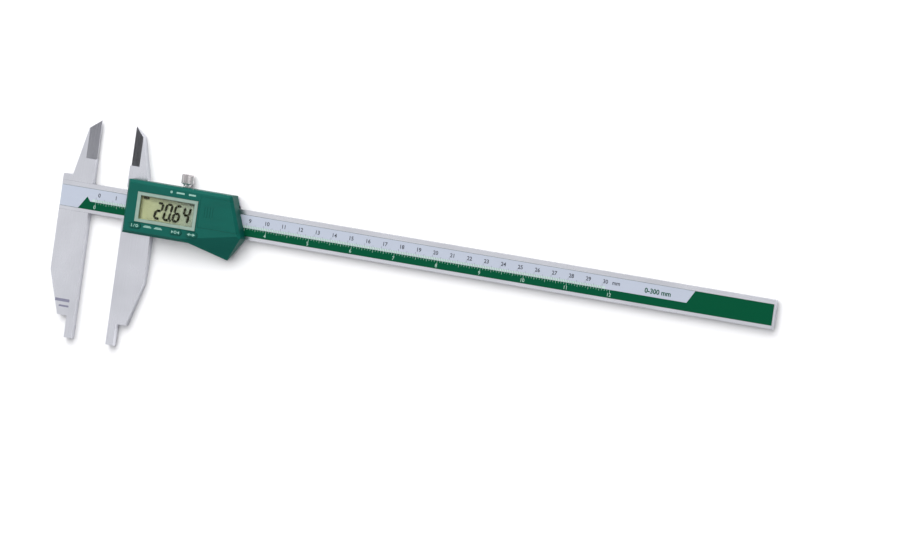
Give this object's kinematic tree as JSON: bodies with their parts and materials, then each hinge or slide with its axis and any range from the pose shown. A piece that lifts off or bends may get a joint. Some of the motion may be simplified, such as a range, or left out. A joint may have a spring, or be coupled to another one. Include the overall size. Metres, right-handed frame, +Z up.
{
  "type": "digital caliper",
  "caption": "Digital caliper with a long steel beam, knife-edge upper jaws, long nibbed lower jaws, a sliding display housing with thumb rest, buttons and a knurled lock screw.",
  "frame": {"origin": "on the resting plane, where the fixed jaw's measuring plane meets the beam's centre line", "axes": "+X along the beam away from the fixed jaw, +Y towards the upper knife-edge jaws, +Z up out of the display"},
  "size_m": [0.4215, 0.12, 0.0135],
  "materials": {
    "ground_steel": "fine ground, satin",
    "bright_steel": "bright nickel plate",
    "bronze": "plain",
    "board": "solder mask",
    "printed_foil": "printed film, satin",
    "plain_foil": "brushed foil",
    "black_resin": "cast drop",
    "grey_silicone": "matt",
    "display": "reflective liquid crystal",
    "white_plastic": "moulded",
    "clear_pane": "clear, polished",
    "silver_plastic": "satin silver",
    "green_plastic": "fine spark texture",
    "green_rubber": "matt silicone"
  },
  "bodies": {
    "beam_side": {"beam": "ground_steel", "fixed_jaw": "ground_steel", "jaw_dowels": "bright_steel", "scale_strip": "board", "scale_label": "printed_foil", "end_stop": "ground_steel", "end_stop_screws": "bright_steel"},
    "slider": {"slider_frame": "ground_steel", "gib_strip": "bronze", "gib_screws": "bright_steel", "rear_label": "plain_foil", "main_board": "board", "board_screws": "bright_steel", "controller_chip": "black_resin", "zebra_strips": "grey_silicone", "display_panel": "display", "display_holder": "white_plastic", "display_window": "clear_pane", "display_bezel": "silver_plastic", "keypad_mat": "grey_silicone", "battery": "bright_steel", "battery_contact_negative": "bronze", "battery_contact_positive": "bronze", "housing": "green_plastic", "housing_screws": "bright_steel"},
    "lock_screw": {"lock_screw": "bright_steel"},
    "button_power": {"button_power": "green_rubber"},
    "button_zero": {"button_zero": "green_rubber"},
    "button_units": {"button_units": "green_rubber"},
    "battery_cover": {"battery_cover": "green_plastic"}
  },
  "joints": [
    {"name": "slider_slide", "type": "slide", "parent": "beam_side", "child": "slider", "axis": [1, 0, 0], "range_m": [-0.02063, 0.27936]},
    {"name": "lock_screw_turn", "type": "hinge", "parent": "slider", "child": "lock_screw", "pos_m": [0.05504, 0.0154, 0.00345], "axis": [0, 1, 0], "range_deg": [-30, 180]},
    {"name": "power_press", "type": "slide", "parent": "slider", "child": "button_power", "axis": [0, 0, -1], "range_m": [0, 0.0005], "stiffness_N_per_m": 2000},
    {"name": "zero_press", "type": "slide", "parent": "slider", "child": "button_zero", "axis": [0, 0, -1], "range_m": [0, 0.0005], "stiffness_N_per_m": 2000},
    {"name": "units_press", "type": "slide", "parent": "slider", "child": "button_units", "axis": [0, 0, -1], "range_m": [0, 0.0005], "stiffness_N_per_m": 2000},
    {"name": "battery_cover_slide", "type": "slide", "parent": "slider", "child": "battery_cover", "axis": [1, 0, 0], "range_m": [0, 0.026]}
  ]
}
